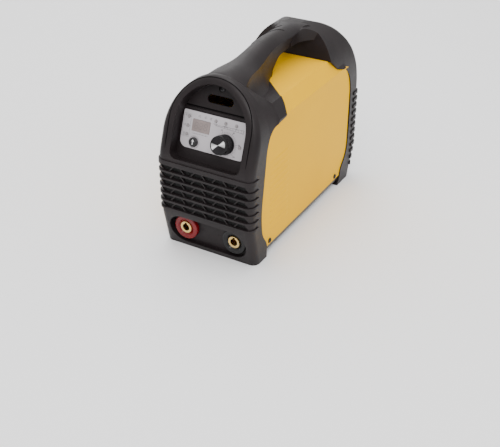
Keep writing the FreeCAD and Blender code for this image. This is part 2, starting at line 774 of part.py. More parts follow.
# ---------------------------------------------------------------- output sockets
def make_bushing(x):
    front = pocket_floor - socket_proud
    flange = rod(socket_radius, (x, front, socket_height), (x, pocket_floor, socket_height))
    rim = min((e for e in flange.Edges if e.Closed), key=lambda e: e.CenterOfMass.y)
    flange = flange.makeFillet(1.6, [rim])
    neck = rod(socket_neck, (x, front + 1, socket_height), (x, pocket_floor + 15, socket_height))
    bushing = flange.fuse(neck)
    dish = Part.makeCone(contact_radius + 3.4, contact_radius + 0.6, 2.6,
                         Vector(x, front, socket_height), Vector(0, 1, 0))
    bushing = bushing.cut(dish)
    bore = rod(contact_radius, (x, front - 1, socket_height), (x, pocket_floor + 16, socket_height))
    return bushing.cut(bore)


def make_contact(x):
    front = pocket_floor - socket_proud + 0.4
    body = rod(contact_radius, (x, front, socket_height), (x, front + contact_length, socket_height))
    bore = rod(socket_bore, (x, front - 1, socket_height), (x, front + socket_bore_depth, socket_height))
    key = box(x - socket_key / 2, x + socket_key / 2, front - 1, front + 7.0, socket_height,
              socket_height + socket_bore + 1.5)
    return body.cut(bore).cut(key)


def make_socket_nuts():
    nuts = []
    y = pocket_floor + cover_wall
    for x in (-socket_spacing / 2, socket_spacing / 2):
        corners = [(x + 17 * math.cos(math.pi * k / 3), socket_height + 17 * math.sin(math.pi * k / 3))
                   for k in range(6)]
        nuts.append(slab_y(corners, 0, y, y + 6).cut(rod(socket_neck, (x, y - 1, socket_height),
                                                         (x, y + 7, socket_height))))
    return group(nuts)


def make_busbar(x):
    """Copper strap from a socket contact up to the power board."""
    y = pocket_floor - socket_proud + 0.4 + contact_length
    upright = box(x - 8, x + 8, y, y + 2, socket_height - 9, 46)
    return upright.fuse(box(x - 8, x + 8, y, y + 26, 44, 46))


# ---------------------------------------------------------------- rear pieces
def fan_screw_spots():
    reach = fan_size / 2 - 4.75
    return [(sx * reach, fan_height + sz * reach) for sx in (-1, 1) for sz in (-1, 1)]


def fan_slots():
    """Row of air slots through the rear panel, inside the fan's circle."""
    slots = []
    pitch = 7.0
    for i in range(-6, 7):
        z = fan_height + i * pitch - 1
        half = math.sqrt(fan_blade_radius ** 2 - (i * pitch) ** 2) if abs(i * pitch) < fan_blade_radius else 0
        if half < 6:
            continue
        for side in (-1, 1):
            x0, x1 = sorted((side * 2.0, side * half))
            slots.append(box(x0, x1, rear_panel - 5, rear_panel + 1, z - 2, z + 2.2))
    return slots


def make_fan_frame():
    back = rear_panel - cover_wall
    half = fan_size / 2
    frame = slab_y([(-half, fan_height - half), (half, fan_height - half), (half, fan_height + half),
                    (-half, fan_height + half)], 4, back - fan_depth, back)
    tunnel = rod(fan_blade_radius + 1.5, (0, back - fan_depth - 1, fan_height), (0, back + 1, fan_height))
    frame = frame.cut(tunnel)
    spider = rod(fan_hub_radius, (0, back - fan_depth, fan_height), (0, back - fan_depth + 3, fan_height))
    for k in range(4):
        spoke = box(-2, 2, back - fan_depth, back - fan_depth + 3,
                    fan_height, fan_height + fan_blade_radius + 3)
        spoke.rotate(Vector(0, 0, fan_height), Vector(0, 1, 0), 45 + 90 * k)
        spider = spider.fuse(spoke)
    pin = rod(1.5, (0, back - fan_depth + 1, fan_height), (0, back - 4, fan_height))
    frame = fuse([frame, spider, pin])
    return drill(frame, [(x, z) for x, z in fan_screw_spots()], 2.15, back - fan_depth - 1, back + 1)


def drill(shape, spots, radius, y0, y1):
    for x, z in spots:
        shape = shape.cut(rod(radius, (x, y0, z), (x, y1, z)))
    return shape


def make_fan_rotor():
    back = rear_panel - cover_wall
    front = back - fan_depth + 4
    hub = rod(fan_hub_radius, (0, front, fan_height), (0, back - 2, fan_height))
    rotor = hub
    for k in range(fan_blades):
        blade = box(-1.0, 1.0, front + 1, back - 3,
                    fan_height + fan_hub_radius - 1.5, fan_height + fan_blade_radius)
        blade.rotate(Vector(0, (front + back) / 2, fan_height), Vector(0, 0, 1), 38)
        blade = blade.common(ring(fan_blade_radius, fan_hub_radius - 2, (0, front + 0.5, fan_height),
                                  (0, back - 2.5, fan_height)))
        blade.rotate(Vector(0, 0, fan_height), Vector(0, 1, 0), 360 * k / fan_blades)
        rotor = rotor.fuse(blade)
    return rotor.cut(rod(1.55, (0, front - 1, fan_height), (0, back - 3.5, fan_height)))


def make_fan_screws():
    screws = []
    for x, z in fan_screw_spots():
        head = rod(3.6, (x, rear_panel, z), (x, rear_panel + 2.2, z))
        screws.append(head.fuse(rod(2.0, (x, rear_panel - 12, z), (x, rear_panel + 1, z))))
    return group(screws)


def make_power_switch():
    x, z = switch_spot
    w, h = switch_width / 2, switch_height / 2
    body = box(x - w + 0.2, x + w - 0.2, rear_panel - 22, rear_panel, z - h + 0.2, z + h - 0.2)
    bezel = slab_y(rectangle(x, z, switch_width + 4, switch_height + 4), 1.5, rear_panel, rear_panel + 2)
    well = box(x - w + 2, x + w - 2, rear_panel - 12, rear_panel + 3, z - h + 2, z + h - 2)
    pivot = rocker_pivot()
    reach = w - 2.3 + rocker_pin_length + fit_gap
    pin_hole = rod(rocker_pin_radius + 0.05, (x - reach, pivot.y, pivot.z), (x + reach, pivot.y, pivot.z))
    return body.fuse(bezel).cut(well).cut(pin_hole)


def rocker_pivot():
    return Vector(switch_spot[0], rear_panel - 4.0, switch_spot[1])


def make_power_rocker():
    pivot = rocker_pivot()
    x, z = switch_spot
    half = switch_height / 2 - 2.6
    width = switch_width / 2 - 2.3
    face = [(pivot.y - 4, z - half + 2), (pivot.y + 7.0, z - half), (pivot.y + 5.2, z),
            (pivot.y + 7.0, z + half), (pivot.y - 4, z + half - 2)]
    rocker = slab_x(face, [1, 1, 0, 1, 1], x - width, x + width)
    reach = width + rocker_pin_length
    rocker = rocker.fuse(rod(rocker_pin_radius, (x - reach, pivot.y, pivot.z), (x + reach, pivot.y, pivot.z)))
    rocker.rotate(pivot, Vector(1, 0, 0), -switch_throw / 2)
    return rocker


def make_cable_gland():
    x, z = gland_spot
    body = rod(gland_radius, (x, rear_panel - 12, z), (x, rear_panel, z))
    flange = hexagon(x, z, 11.0, rear_panel, rear_panel + 4)
    dome = Part.makeCone(9.6, 7.0, 11.0, Vector(x, rear_panel + 4, z), Vector(0, 1, 0))
    gland = fuse([body, flange, dome])
    return gland.cut(rod(gland_bore, (x, rear_panel - 13, z), (x, rear_panel + 16, z)))


def hexagon(x, z, radius, y0, y1):
    corners = [(x + radius * math.cos(math.pi * k / 3), z + radius * math.sin(math.pi * k / 3))
               for k in range(6)]
    return slab_y(corners, 0.8, y0, y1)


def make_gland_nut():
    x, z = gland_spot
    y = rear_panel - cover_wall
    return hexagon(x, z, 11.5, y - 5, y).cut(rod(gland_radius, (x, y - 6, z), (x, y + 1, z)))


# ---------------------------------------------------------------- inner pieces
def make_power_board():
    return box(-52, 52, -88, 86, board_level, board_level + board_thick)


def board_standoff_spots():
    return [(x, y) for x in (-46, 46) for y in (-82, 0, 80)]


def make_board_standoffs():
    posts = [rod(3, (x, y, tray_floor + sheet), (x, y, board_level)) for x, y in board_standoff_spots()]
    return group(posts)


def make_heat_sink(side):
    """Finned aluminium block; the fins run along the air stream."""
    inner, outer = 12.0, 52.0
    base = board_level + board_thick + 3
    x0, x1 = sorted((side * inner, side * (inner + 5)))
    sink = box(x0, x1, 0, 88, base, 104)
    for i in range(9):
        z = base + 2 + i * 8.6
        a, b = sorted((side * (inner + 4), side * outer))
        sink = sink.fuse(box(a, b, 0, 88, z, z + 1.8))
    return sink


def make_transistors():
    """Power switches clamped to the flat inner faces of the heat sinks."""
    pieces = []
    for side in (-1, 1):
        for i in range(4):
            y = 10 + i * 19
            x0, x1 = sorted((side * 7.0, side * 12.0))
            case = box(x0, x1, y, y + 15.5, 34, 54)
            leg_from, leg_to = sorted((side * 9, side * 10))
            for leg in (2.5, 7.75, 13.0):
                case = case.fuse(box(leg_from, leg_to, y + leg - 0.6, y + leg + 0.6,
                                     board_level + board_thick, 36))
            pieces.append(case)
    return group(pieces)


def make_transformer_core():
    """Two E halves around the windings."""
    y = -36.0
    outer = box(-30, 30, y - 12, y + 12, board_level + board_thick + 6, 84)
    for side in (-1, 1):
        a, b = sorted((side * 9.0, side * 22.0))
        outer = outer.cut(box(a, b, y - 13, y + 13, board_level + board_thick + 14, 76))
    return outer


def make_transformer_windings():
    y = -36.0
    base = board_level + board_thick + 14
    coil = slab_z([(-21.5, y - 24), (21.5, y - 24), (21.5, y + 24), (-21.5, y + 24)], 8, base, 75.5)
    return coil.cut(box(-9.3, 9.3, y - 12.3, y + 12.3, base - 1, 77))


def make_winding_feet():
    """Moulded feet that hold the transformer off the board."""
    y = -36.0
    feet = [box(x - 5, x + 5, y - 11, y + 11, board_level + board_thick, board_level + board_thick + 6)
            for x in (-24, 24)]
    return group(feet)



def make_bulk_capacitors():
    base = board_level + board_thick
    return group([rod(11.0, (x, y, base), (x, y, base + 36)) for x, y in ((-42, -40), (-42, -14), (42, -40))])


def make_rectifier():
    return box(30, 52, -22, -4, board_level + board_thick, board_level + board_thick + 22)


def make_output_choke():
    """Ring choke with its winding, lying on its edge."""
    centre = board_level + board_thick + choke_ring_radius + choke_wire_radius
    return Part.makeTorus(choke_ring_radius, choke_wire_radius, Vector(0, -72, centre), Vector(0, 1, 0))


def make_cover_screws():
    screws = []
    for x, y in cover_screw_spots():
        side = math.copysign(1, x)
        z = cover_foot + 5
        shank = rod(2.0, (side * (half_sheet - 8), y, z), (side * (half_sheet + 0.2), y, z))
        head = rod(cover_screw_radius, (side * half_sheet, y, z), (side * (half_sheet + 1.2), y, z))
        screws.append(shank.fuse(head))
    return group(screws)


def make_earth_screw():
    stud = rod(2.5, (-48, 92, tray_floor + sheet), (-48, 92, tray_floor + sheet + 12))
    nut = rod(4.6, (-48, 92, tray_floor + sheet), (-48, 92, tray_floor + sheet + 4))
    return stud.fuse(nut)



# ---------------------------------------------------------------- write every node
def main():
    left, right = -socket_spacing / 2, socket_spacing / 2
    nodes = {
        "front_cover": make_front_cover(),
        "rear_cover": make_rear_cover(),
        "carry_handle": make_carry_handle(),
        "side_cover": make_side_cover(),
        "base_tray": make_base_tray(),
        "panel_label": make_panel_label(),
        "display_window": make_display_window(),
        "display_module": make_display_module(),
        "indicator_lights": make_indicator_lights(),
        "mode_button": make_mode_button(),
        "mode_switch": make_mode_switch(),
        "control_knob": make_control_knob(),
        "knob_cap": make_knob_cap(),
        "dial_shaft": make_dial_shaft(),
        "dial_encoder": make_dial_encoder(),
        "control_board": make_control_board(),
        "panel_screw": make_panel_screw(),
        "positive_bushing": make_bushing(left),
        "negative_bushing": make_bushing(right),
        "positive_contact": make_contact(left),
        "negative_contact": make_contact(right),
        "socket_nuts": make_socket_nuts(),
        "positive_busbar": make_busbar(left),
        "negative_busbar": make_busbar(right),
        "fan_frame": make_fan_frame(),
        "fan_rotor": make_fan_rotor(),
        "fan_screws": make_fan_screws(),
        "power_switch": make_power_switch(),
        "power_rocker": make_power_rocker(),
        "cable_gland": make_cable_gland(),
        "gland_nut": make_gland_nut(),
        "power_board": make_power_board(),
        "board_standoffs": make_board_standoffs(),
        "heat_sink_left": make_heat_sink(-1),
        "heat_sink_right": make_heat_sink(1),
        "power_transistors": make_transistors(),
        "transformer_core": make_transformer_core(),
        "transformer_windings": make_transformer_windings(),
        "transformer_feet": make_winding_feet(),
        "bulk_capacitors": make_bulk_capacitors(),
        "rectifier": make_rectifier(),
        "output_choke": make_output_choke(),
        "cover_screws": make_cover_screws(),
        "earth_screw": make_earth_screw(),
    }
    os.makedirs("parts", exist_ok=True)
    for name, shape in nodes.items():
        shape.exportStep("parts/" + name + ".step")
        print(name, len(shape.Solids), round(shape.Volume / 1000, 2), shape.isValid())
    return nodes


main()
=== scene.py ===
import bpy, bmesh, json, math
from mathutils import Vector, Matrix, Quaternion
from mathutils.bvhtree import BVHTree


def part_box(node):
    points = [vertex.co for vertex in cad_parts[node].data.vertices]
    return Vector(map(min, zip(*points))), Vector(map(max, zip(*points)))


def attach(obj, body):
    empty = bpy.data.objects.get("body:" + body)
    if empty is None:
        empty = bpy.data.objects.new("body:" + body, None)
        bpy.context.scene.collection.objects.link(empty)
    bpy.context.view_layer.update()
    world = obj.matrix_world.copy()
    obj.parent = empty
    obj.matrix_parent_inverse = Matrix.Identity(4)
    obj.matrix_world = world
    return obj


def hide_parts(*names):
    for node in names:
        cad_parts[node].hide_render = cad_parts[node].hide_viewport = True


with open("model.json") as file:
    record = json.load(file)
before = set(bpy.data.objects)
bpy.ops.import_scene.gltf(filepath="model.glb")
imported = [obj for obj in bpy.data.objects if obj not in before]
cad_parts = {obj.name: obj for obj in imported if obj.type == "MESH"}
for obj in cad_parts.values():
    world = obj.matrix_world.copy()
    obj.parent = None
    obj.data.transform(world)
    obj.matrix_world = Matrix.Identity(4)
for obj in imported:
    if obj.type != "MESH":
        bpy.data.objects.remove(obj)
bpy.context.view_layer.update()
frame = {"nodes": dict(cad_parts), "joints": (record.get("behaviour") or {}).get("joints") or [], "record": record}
nodes = frame["nodes"]
joints = {j["name"]: j for j in frame["joints"]}
print("frame loaded,", len(nodes), "nodes")

# ---- camera, floor and lights
shot = {"place": (0.4782, -0.868, 0.5926), "azimuth": 29.9, "elevation": 32.2, "lens": 63.0}
cameraData = bpy.data.cameras.new("shotCamera")
cameraData.lens = shot["lens"]
cameraData.sensor_width = 36.0
cameraData.clip_start, cameraData.clip_end = 0.01, 30.0
camera = bpy.data.objects.new("shotCamera", cameraData)
camera.location = shot["place"]
camera.rotation_euler = (math.radians(90 - shot["elevation"]), 0, math.radians(shot["azimuth"]))
bpy.context.scene.collection.objects.link(camera)
bpy.context.scene.camera = camera

studio = {"floorSize": 8.0, "floorColour": (0.96, 0.96, 0.965), "skyLow": 0.55, "skyHigh": 1.45}
softboxes = [
    {"name": "keySoftbox", "place": (0.75, -1.25, 1.45), "size": 0.9, "watts": 17.0},
    {"name": "sideSoftbox", "place": (1.7, 0.25, 1.0), "size": 1.1, "watts": 3.0},
    {"name": "topSoftbox", "place": (-0.3, 0.3, 1.9), "size": 1.2, "watts": 16.0},
    {"name": "backSoftbox", "place": (-1.3, 1.3, 1.1), "size": 1.2, "watts": 8.0},
]


def linkObject(obj):
    bpy.context.scene.collection.objects.link(obj)
    return obj


def meshObject(name, vertices, faces):
    mesh = bpy.data.meshes.new(name)
    mesh.from_pydata([tuple(v) for v in vertices], [], faces)
    mesh.update()
    return linkObject(bpy.data.objects.new(name, mesh))


def addSoftbox(box):
    data = bpy.data.lights.new(box["name"], "AREA")
    data.shape = "SQUARE"
    data.size = box["size"]
    data.energy = box["watts"]
    lamp = linkObject(bpy.data.objects.new(box["name"], data))
    lamp.location = box["place"]
    aim = Vector((0, 0, 0.1)) - lamp.location
    lamp.rotation_euler = aim.to_track_quat("-Z", "Y").to_euler()


for box in softboxes:
    addSoftbox(box)
world = bpy.data.worlds.new("studioSky")
world.use_nodes = True
world.node_tree.nodes["Background"].inputs["Color"].default_value = (1, 1, 1, 1)
bpy.context.scene.world = world
skyNodes = world.node_tree.nodes
skyWhere = skyNodes.new("ShaderNodeTexCoord")
skySplit = skyNodes.new("ShaderNodeSeparateXYZ")
skyRise = skyNodes.new("ShaderNodeMapRange")  # dimmer near the horizon, as with a tent over the table
skySpan = {"From Min": 0.0, "From Max": 0.8, "To Min": studio["skyLow"], "To Max": studio["skyHigh"]}
for key, value in skySpan.items():
    skyRise.inputs[key].default_value = value
world.node_tree.links.new(skyWhere.outputs["Generated"], skySplit.inputs["Vector"])
world.node_tree.links.new(skySplit.outputs["Z"], skyRise.inputs["Value"])
world.node_tree.links.new(skyRise.outputs["Result"], skyNodes["Background"].inputs["Strength"])
print("camera and lights ready")

# ---- materials


def addNode(tree, kind, values=None, **settings):
    node = tree.nodes.new(kind)
    for key, value in settings.items():
        setattr(node, key, value)
    for key, value in (values or {}).items():
        node.inputs[key].default_value = value
    return node


def newFinish(name, colour, roughness, metallic=0.0, **sockets):
    # a material with its main values on the shader, and the Object coordinates ready to use
    finish = bpy.data.materials.new(name)
    finish.use_nodes = True
    tree = finish.node_tree
    shader = tree.nodes["Principled BSDF"]
    shader.inputs["Base Color"].default_value = (*colour, 1)
    shader.inputs["Roughness"].default_value = roughness
    shader.inputs["Metallic"].default_value = metallic
    for key, value in sockets.items():
        shader.inputs[key].default_value = value
    where = addNode(tree, "ShaderNodeTexCoord").outputs["Object"]
    return finish, tree, shader, where


def noiseOn(tree, where, scale, detail=3.0, rough=0.5, stretch=None):
    source = where
    if stretch:
        mapping = addNode(tree, "ShaderNodeMapping", {"Scale": stretch})
        tree.links.new(where, mapping.inputs["Vector"])
        source = mapping.outputs["Vector"]
    noise = addNode(tree, "ShaderNodeTexNoise", {"Scale": scale, "Detail": detail, "Roughness": rough})
    tree.links.new(source, noise.inputs["Vector"])
    return noise.outputs["Fac"]


def rampBetween(tree, fac, low, high, start=0.3, end=0.7):
    ramp = addNode(tree, "ShaderNodeValToRGB")
    ramp.color_ramp.elements[0].position = start
    ramp.color_ramp.elements[1].position = end
    ramp.color_ramp.elements[0].color = (*low, 1)
    ramp.color_ramp.elements[1].color = (*high, 1)
    tree.links.new(fac, ramp.inputs["Fac"])
    return ramp.outputs["Color"]


def varyRoughness(tree, shader, fac, low, high):
    span = addNode(tree, "ShaderNodeMapRange", {"To Min": low, "To Max": high})
    tree.links.new(fac, span.inputs["Value"])
    tree.links.new(span.outputs["Result"], shader.inputs["Roughness"])


def bumpFrom(tree, shader, height, strength, distance, normal=None):
    bump = addNode(tree, "ShaderNodeBump", {"Strength": strength, "Distance": distance})
    tree.links.new(height, bump.inputs["Height"])
    if normal:
        tree.links.new(normal, bump.inputs["Normal"])
    tree.links.new(bump.outputs["Normal"], shader.inputs["Normal"])
    return bump.outputs["Normal"]


def mouldedPlastic(name, dark, light, rough, grain, depth=0.00012, **sockets):
    # textured ABS: fine pits, faint cloudy colour and uneven sheen
    finish, tree, shader, where = newFinish(name, dark, rough, **sockets)
    clouds = noiseOn(tree, where, 28.0, 4.0)
    tree.links.new(rampBetween(tree, clouds, dark, light), shader.inputs["Base Color"])
    varyRoughness(tree, shader, noiseOn(tree, where, 120.0, 4.0), rough - 0.05, rough + 0.06)
    bumpFrom(tree, shader, noiseOn(tree, where, grain, 2.0), 0.35, depth)
    return finish


def glossyPlastic(name, colour, rough=0.18, coat=0.2, gloss=0.35):
    finish, tree, shader, where = newFinish(name, colour, rough, **{
        "Coat Weight": coat, "Coat Roughness": 0.08, "Specular IOR Level": gloss})
    dark = tuple(c * 0.82 for c in colour)
    tree.links.new(rampBetween(tree, noiseOn(tree, where, 60.0), dark, colour), shader.inputs["Base Color"])
    varyRoughness(tree, shader, noiseOn(tree, where, 300.0), rough - 0.03, rough + 0.06)
    bumpFrom(tree, shader, noiseOn(tree, where, 900.0), 0.08, 0.00005)
    return finish


def paintedSteel(name, colour, shade, rough, coat, peel=420.0, gloss=0.5):
    # powder coat: very fine orange peel under a clear gloss
    finish, tree, shader, where = newFinish(name, colour, rough, **{
        "Coat Weight": coat, "Coat Roughness": 0.06, "Specular IOR Level": gloss})
    tree.links.new(rampBetween(tree, noiseOn(tree, where, 9.0), shade, colour), shader.inputs["Base Color"])
    varyRoughness(tree, shader, noiseOn(tree, where, 45.0, 5.0), rough - 0.04, rough + 0.05)
    bumpFrom(tree, shader, noiseOn(tree, where, peel, 2.0), 0.12, 0.00012)
    return finish


def bareMetal(name, colour, rough, stretch, scale=700.0):
    # brushed, turned or extruded metal: streaks along one direction
    finish, tree, shader, where = newFinish(name, colour, rough, 1.0)
    streaks = noiseOn(tree, where, scale, 3.0, 0.6, stretch)
    dark = tuple(c * 0.72 for c in colour)
    tree.links.new(rampBetween(tree, streaks, dark, colour), shader.inputs["Base Color"])
    varyRoughness(tree, shader, streaks, rough - 0.07, rough + 0.1)
    bumpFrom(tree, shader, streaks, 0.12, 0.00006)
    return finish


def turnedDiscWithPaintedRays(name, colour, shade, centre, axis, ray, rough=0.2):
    # brushed in circles about an axis: the tangent points out from the centre so the sheen falls in rays, and the
    # base colour has painted highlight rays too, bright along one fixed axis and painted dark elsewhere
    finish, tree, shader, where = newFinish(name, colour, rough, 1.0, Anisotropic=0.95)
    offset = addNode(tree, "ShaderNodeVectorMath", operation="SUBTRACT")
    offset.inputs[1].default_value = centre
    tree.links.new(where, offset.inputs[0])
    along = addNode(tree, "ShaderNodeVectorMath", operation="PROJECT")
    along.inputs[1].default_value = axis
    tree.links.new(offset.outputs[0], along.inputs[0])
    outward = addNode(tree, "ShaderNodeVectorMath", operation="SUBTRACT")
    tree.links.new(offset.outputs[0], outward.inputs[0])
    tree.links.new(along.outputs[0], outward.inputs[1])
    unit = addNode(tree, "ShaderNodeVectorMath", operation="NORMALIZE")
    tree.links.new(outward.outputs[0], unit.inputs[0])
    tree.links.new(unit.outputs[0], shader.inputs["Tangent"])
    radius = addNode(tree, "ShaderNodeVectorMath", operation="LENGTH")
    tree.links.new(outward.outputs[0], radius.inputs[0])
    rings = addNode(tree, "ShaderNodeTexNoise", {"Scale": 4200.0, "Detail": 2.0}, noise_dimensions="1D")
    tree.links.new(radius.outputs["Value"], rings.inputs["W"])
    # painted highlight and painted reflection: light where the outward direction lies along the given axis, the
    # shade colour everywhere else
    across = addNode(tree, "ShaderNodeVectorMath", operation="DOT_PRODUCT")
    across.inputs[1].default_value = ray
    tree.links.new(unit.outputs[0], across.inputs[0])
    glintFan = addNode(tree, "ShaderNodeMath", operation="POWER")
    glintFan.inputs[1].default_value = 2.0
    tree.links.new(across.outputs["Value"], glintFan.inputs[0])
    paintedRays = rampBetween(tree, glintFan.outputs[0], shade, colour, 0.74, 0.93)
    tree.links.new(paintedRays, shader.inputs["Base Color"])
    varyRoughness(tree, shader, rings.outputs["Fac"], rough - 0.05, rough + 0.08)
    return finish


def circuitBoard(name):
    # solder mask with fine copper tracks showing through
    finish, tree, shader, where = newFinish(name, (0.02, 0.16, 0.07), 0.3, **{"Coat Weight": 0.5})
    cells = addNode(tree, "ShaderNodeTexVoronoi", {"Scale": 190.0}, distance="MANHATTAN", feature="F1")
    tree.links.new(where, cells.inputs["Vector"])
    tracks = rampBetween(tree, cells.outputs["Distance"], (0.015, 0.12, 0.05), (0.05, 0.27, 0.12),
                         0.35, 0.5)
    tree.links.new(tracks, shader.inputs["Base Color"])
    bumpFrom(tree, shader, cells.outputs["Distance"], 0.1, 0.00008)
    return finish


def wrappedTape(name):
    # polyester tape wound in overlapping turns
    finish, tree, shader, where = newFinish(name, (0.75, 0.5, 0.08), 0.28, **{"Coat Weight": 0.6})
    wave = addNode(tree, "ShaderNodeTexWave", {"Scale": 90.0, "Distortion": 0.6, "Detail": 1.0},
                   bands_direction="Z")
    tree.links.new(where, wave.inputs["Vector"])
    tree.links.new(rampBetween(tree, wave.outputs["Fac"], (0.55, 0.33, 0.04), (0.8, 0.56, 0.1), 0.1, 0.4),
                   shader.inputs["Base Color"])
    bumpFrom(tree, shader, wave.outputs["Fac"], 0.3, 0.0002)
    return finish


dialAxis = Vector(joints["dial_turn"]["axis"]).normalized()
dialSpot = Vector(joints["dial_turn"]["pos_m"])
dialUp = Vector((0, dialAxis.z, -dialAxis.y))
# fixed axis of the painted highlight rays on the dial disc, 20 degrees above the panel's across direction
dialGlintAxis = Vector((1, 0, 0)) * math.cos(math.radians(20)) + dialUp * math.sin(math.radians(20))

finishes = {
    "black_plastic": mouldedPlastic("charcoalShell", (0.0105, 0.0078, 0.0084), (0.0165, 0.0122, 0.0128),
                                    0.42, 2600.0, **{"Specular IOR Level": 0.22}),
    "grip_plastic": mouldedPlastic("charcoalGrip", (0.0105, 0.0078, 0.0082), (0.0165, 0.0122, 0.0125),
                                   0.44, 2600.0, **{"Specular IOR Level": 0.22}),
    "yellow_paint": paintedSteel("signalYellow", (0.84, 0.455, 0.0), (0.81, 0.43, 0.0), 0.3, 0.0,
                                 gloss=0.02),
    "black_paint": paintedSteel("trayBlack", (0.02, 0.02, 0.02), (0.03, 0.03, 0.03), 0.4, 0.1, 900.0),
    "label_silver": paintedSteel("overlaySilver", (0.50, 0.47, 0.49), (0.46, 0.43, 0.45), 0.4, 0.1,
                                 1500.0, 0.3),
    "smoked_window": glossyPlastic("smokedWindow", (0.27, 0.22, 0.21), 0.15, 0.6),
    "display_grey": mouldedPlastic("displayBody", (0.05, 0.04, 0.04), (0.07, 0.06, 0.06), 0.5, 1500.0),
    "light_lens": glossyPlastic("milkyLens", (0.34, 0.31, 0.31), 0.2, 0.5),
    "button_black": glossyPlastic("keyBlack", (0.014, 0.013, 0.014), 0.2, 0.5),
    "knob_black": mouldedPlastic("dialBlack", (0.006, 0.0055, 0.006), (0.009, 0.0085, 0.009), 0.34, 3000.0,
                                 **{"Specular IOR Level": 0.3}),
    # white and near-black: the painted highlight rays and the painted dark reflection between them
    "knob_metal": turnedDiscWithPaintedRays("dialDisc", (0.95, 0.95, 0.95), (0.035, 0.033, 0.035),
                             dialSpot, dialAxis, dialGlintAxis, 0.36),
    "socket_red": glossyPlastic("socketRed", (0.17, 0.0015, 0.004), 0.2, 0.15, 0.3),
    "socket_black": glossyPlastic("socketBlack", (0.006, 0.0055, 0.006), 0.22, 0.1, 0.25),
    "brass": bareMetal("turnedBrass", (0.83, 0.58, 0.22), 0.24, (1.0, 0.05, 1.0)),
    "zinc_steel": bareMetal("zincSteel", (0.60, 0.60, 0.62), 0.3, (1.0, 1.0, 0.2)),
    "copper": bareMetal("busbarCopper", (0.85, 0.42, 0.26), 0.28, (0.1, 1.0, 1.0)),
    "board_green": circuitBoard("solderMask"),
    "aluminium": bareMetal("extrudedAluminium", (0.75, 0.76, 0.78), 0.32, (1.0, 0.03, 1.0)),
    "ferrite": mouldedPlastic("ferriteGrey", (0.055, 0.055, 0.06), (0.085, 0.085, 0.09), 0.6, 900.0),
    "winding_tape": wrappedTape("windingTape"),
    "component_black": mouldedPlastic("componentBlack", (0.022, 0.022, 0.024), (0.034, 0.034, 0.036),
                                      0.45, 1800.0),
    "capacitor_sleeve": glossyPlastic("capacitorSleeve", (0.02, 0.035, 0.1), 0.25, 0.4),
    "nylon_white": mouldedPlastic("nylonWhite", (0.70, 0.70, 0.67), (0.78, 0.78, 0.75), 0.45, 900.0),
}
inkGrey = mouldedPlastic("inkGrey", (0.045, 0.04, 0.043), (0.06, 0.055, 0.058), 0.55, 1500.0)
darkSteel = bareMetal("blackZinc", (0.045, 0.043, 0.045), 0.34, (1.0, 1.0, 0.2))
inkWhite = glossyPlastic("inkWhite", (0.78, 0.77, 0.78), 0.35, 0.2)
# near-black and almost without sheen: painted shade that stands for the grooves and steps moulded in the plastic
paintedGrooveShade = mouldedPlastic("paintedGrooveShade", (0.0016, 0.0014, 0.0015), (0.0024, 0.002, 0.0022), 0.8, 1500.0,
                            **{"Specular IOR Level": 0.05})
floorFinish = mouldedPlastic("floorWhite", studio["floorColour"], studio["floorColour"], 0.75, 200.0,
                             0.00002)
slotOf = {part["node"]: part["material_slot"] for part in frame["record"]["subparts"]}
for nodeName, obj in nodes.items():
    obj.data.materials.clear()
    obj.data.materials.append(finishes[slotOf[nodeName]])
print("finishes ready,", len(finishes) + 4)

half = studio["floorSize"] / 2
floor = meshObject("studioFloor", [(-half, -half, -0.0002), (half, -half, -0.0002), (half, half, -0.0002),
                                   (-half, half, -0.0002)], [(0, 1, 2, 3)])
floor.data.materials.append(floorFinish)

# ---- shared ways of making pieces


def keep(obj, finish, body="case", smooth=None):
    if not obj.data.materials:
        obj.data.materials.append(finish)
    if smooth is not None:
        obj.data.shade_smooth()
        obj.data.set_sharp_from_angle(angle=math.radians(smooth))
    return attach(obj, body)


def fromBmesh(name, bm):
    bmesh.ops.remove_doubles(bm, verts=bm.verts, dist=1e-7)
    bmesh.ops.recalc_face_normals(bm, faces=bm.faces)
    mesh = bpy.data.meshes.new(name)
    bm.to_mesh(mesh)
    bm.free()
    return linkObject(bpy.data.objects.new(name, mesh))


def addPrism(bm, outline, thick, place):
    # a flat shape given as (across, up) points, raised by its thickness
    low = [bm.verts.new(place @ Vector((x, y, 0))) for x, y in outline]
    high = [bm.verts.new(place @ Vector((x, y, thick))) for x, y in outline]
    bm.faces.new(low[::-1])
    bm.faces.new(high)
    count = len(outline)
    for i in range(count):
        j = (i + 1) % count
        bm.faces.new((low[i], low[j], high[j], high[i]))


def addRing(bm, radius, width, thick, place, start=0.0, end=360.0, steps=40, squashY=1.0):
    # part of a flat ring about the origin of place
    whole = abs(end - start) >= 360
    count = steps if whole else steps + 1
    rows = []
    for i in range(count):
        angle = math.radians(start + (end - start) * i / steps)
        c, s = math.cos(angle), math.sin(angle) * squashY
        rows.append([bm.verts.new(place @ Vector((r * c, r * s, h))) for r, h in
                     ((radius, 0), (radius + width, 0), (radius + width, thick), (radius, thick))])
    for i in range(steps):
        a, b = rows[i], rows[(i + 1) % count]
        for k in range(4):
            bm.faces.new((a[k], b[k], b[(k + 1) % 4], a[(k + 1) % 4]))
    if not whole:
        bm.faces.new(rows[0])
        bm.faces.new(rows[-1][::-1])


def islandBoxes(nodeName):
    # lowest and highest corner of each separate solid of a node
    bm = bmesh.new()
    bm.from_mesh(nodes[nodeName].data)
    bmesh.ops.remove_doubles(bm, verts=bm.verts, dist=1e-6)
    found, waiting = [], set(bm.verts)
    while waiting:
        stack, island = [waiting.pop()], []
        while stack:
            vert = stack.pop()
            island.append(vert.co.copy())
            for edge in vert.link_edges:
                other = edge.other_vert(vert)
                if other in waiting:
                    waiting.remove(other)
                    stack.append(other)
        found.append((Vector(map(min, zip(*island))), Vector(map(max, zip(*island)))))
    bm.free()
    return found


